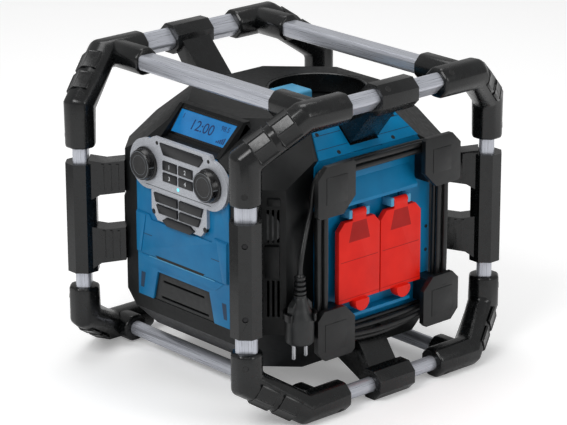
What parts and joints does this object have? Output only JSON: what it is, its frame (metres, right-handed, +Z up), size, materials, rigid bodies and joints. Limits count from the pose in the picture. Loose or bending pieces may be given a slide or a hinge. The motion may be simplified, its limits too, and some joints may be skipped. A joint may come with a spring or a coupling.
{
  "type": "jobsite radio",
  "caption": "Cubic jobsite radio in a tube roll cage, with knobs, keys, tilted display, side outlets under lift-up covers and a wound mains cord.",
  "frame": {"origin": "centre of the cage's footprint on the floor", "axes": "+X to the side with the outlets and the cord, -Y the face with the knobs and display, +Z up"},
  "size_m": [0.4066, 0.4316, 0.3923],
  "materials": {
    "cage_moulding": "satin textured",
    "tube_metal": "satin",
    "black_plastic": "fine texture",
    "blue_plastic": "satin",
    "silver_plastic": "metallic paint",
    "display_glass": "clear, lit from behind",
    "knob_plastic": "satin",
    "button_plastic": "metallic paint",
    "red_plastic": "satin",
    "hook_plastic": "satin",
    "cord_rubber": "satin",
    "plug_rubber": "satin",
    "screw_metal": "blackened",
    "speaker_steel": "satin",
    "iron_core": "laminated",
    "board": "satin"
  },
  "bodies": {
    "radio": {"control_plate": "silver_plastic", "cord_hooks": "hook_plastic", "cord_lead": "cord_rubber", "cord_winding": "cord_rubber", "corner_fitting_front_left_bottom": "cage_moulding", "corner_fitting_front_left_top": "cage_moulding", "corner_fitting_front_right_bottom": "cage_moulding", "corner_fitting_front_right_top": "cage_moulding", "corner_fitting_rear_left_bottom": "cage_moulding", "corner_fitting_rear_left_top": "cage_moulding", "corner_fitting_rear_right_bottom": "cage_moulding", "corner_fitting_rear_right_top": "cage_moulding", "corner_speakers": "speaker_steel", "cross_bar_front_bottom": "tube_metal", "cross_bar_front_top": "tube_metal", "cross_bar_rear_bottom": "tube_metal", "cross_bar_rear_top": "tube_metal", "display_bezel": "black_plastic", "display_window": "display_glass", "front_casing": "black_plastic", "front_fascia": "blue_plastic", "main_board": "board", "plug": "plug_rubber", "post_front_left": "tube_metal", "post_front_right": "tube_metal", "post_rear_left": "tube_metal", "post_rear_right": "tube_metal", "post_sleeve_front_left": "cage_moulding", "post_sleeve_front_right": "cage_moulding", "post_sleeve_rear_left": "cage_moulding", "post_sleeve_rear_right": "cage_moulding", "power_supply": "iron_core", "rail_clamp_left_bottom": "cage_moulding", "rail_clamp_left_top": "cage_moulding", "rail_clamp_right_bottom": "cage_moulding", "rail_clamp_right_top": "cage_moulding", "rear_casing": "black_plastic", "screws": "screw_metal", "side_panel": "blue_plastic", "side_rail_left_bottom": "tube_metal", "side_rail_left_top": "tube_metal", "side_rail_right_bottom": "tube_metal", "side_rail_right_top": "tube_metal", "socket_inserts": "hook_plastic", "subwoofer_driver": "speaker_steel", "subwoofer_panel": "black_plastic"},
    "volume_knob": {"volume_knob": "knob_plastic"},
    "tuning_knob": {"tuning_knob": "knob_plastic"},
    "power_button": {"power_button": "button_plastic"},
    "preset_button_1": {"preset_button_1": "button_plastic"},
    "preset_button_2": {"preset_button_2": "button_plastic"},
    "preset_button_3": {"preset_button_3": "button_plastic"},
    "preset_button_4": {"preset_button_4": "button_plastic"},
    "previous_button": {"previous_button": "button_plastic"},
    "next_button": {"next_button": "button_plastic"},
    "source_button": {"source_button": "button_plastic"},
    "equaliser_button": {"equaliser_button": "button_plastic"},
    "pause_button": {"pause_button": "button_plastic"},
    "socket_cover_front": {"socket_cover_front": "red_plastic"},
    "socket_cover_rear": {"socket_cover_rear": "red_plastic"}
  },
  "joints": [
    {"name": "volume_turn", "type": "hinge", "parent": "radio", "child": "volume_knob", "pos_m": [-0.0585, -0.175, 0.269], "axis": [0, -1, 0], "continuous": true},
    {"name": "tuning_turn", "type": "hinge", "parent": "radio", "child": "tuning_knob", "pos_m": [0.0585, -0.175, 0.269], "axis": [0, -1, 0], "continuous": true},
    {"name": "power_press", "type": "slide", "parent": "radio", "child": "power_button", "axis": [0, 1, 0], "range_m": [0, 0.0012], "stiffness_N_per_m": 1500, "springref_m": -0.0004},
    {"name": "preset_press_1", "type": "slide", "parent": "radio", "child": "preset_button_1", "axis": [0, 1, 0], "range_m": [0, 0.0012], "stiffness_N_per_m": 1500, "springref_m": -0.0004},
    {"name": "preset_press_2", "type": "slide", "parent": "radio", "child": "preset_button_2", "axis": [0, 1, 0], "range_m": [0, 0.0012], "stiffness_N_per_m": 1500, "springref_m": -0.0004},
    {"name": "preset_press_3", "type": "slide", "parent": "radio", "child": "preset_button_3", "axis": [0, 1, 0], "range_m": [0, 0.0012], "stiffness_N_per_m": 1500, "springref_m": -0.0004},
    {"name": "preset_press_4", "type": "slide", "parent": "radio", "child": "preset_button_4", "axis": [0, 1, 0], "range_m": [0, 0.0012], "stiffness_N_per_m": 1500, "springref_m": -0.0004},
    {"name": "previous_press", "type": "slide", "parent": "radio", "child": "previous_button", "axis": [0, 1, 0], "range_m": [0, 0.0012], "stiffness_N_per_m": 1500, "springref_m": -0.0004},
    {"name": "next_press", "type": "slide", "parent": "radio", "child": "next_button", "axis": [0, 1, 0], "range_m": [0, 0.0012], "stiffness_N_per_m": 1500, "springref_m": -0.0004},
    {"name": "source_press", "type": "slide", "parent": "radio", "child": "source_button", "axis": [0, 1, 0], "range_m": [0, 0.0012], "stiffness_N_per_m": 1500, "springref_m": -0.0004},
    {"name": "equaliser_press", "type": "slide", "parent": "radio", "child": "equaliser_button", "axis": [0, 1, 0], "range_m": [0, 0.0012], "stiffness_N_per_m": 1500, "springref_m": -0.0004},
    {"name": "pause_press", "type": "slide", "parent": "radio", "child": "pause_button", "axis": [0, 1, 0], "range_m": [0, 0.0012], "stiffness_N_per_m": 1500, "springref_m": -0.0004},
    {"name": "socket_lift_front", "type": "hinge", "parent": "radio", "child": "socket_cover_front", "pos_m": [0.158, -0.027, 0.2295], "axis": [0, -1, 0], "range_deg": [0, 100]},
    {"name": "socket_lift_rear", "type": "hinge", "parent": "radio", "child": "socket_cover_rear", "pos_m": [0.158, 0.041, 0.2295], "axis": [0, -1, 0], "range_deg": [0, 100]}
  ]
}
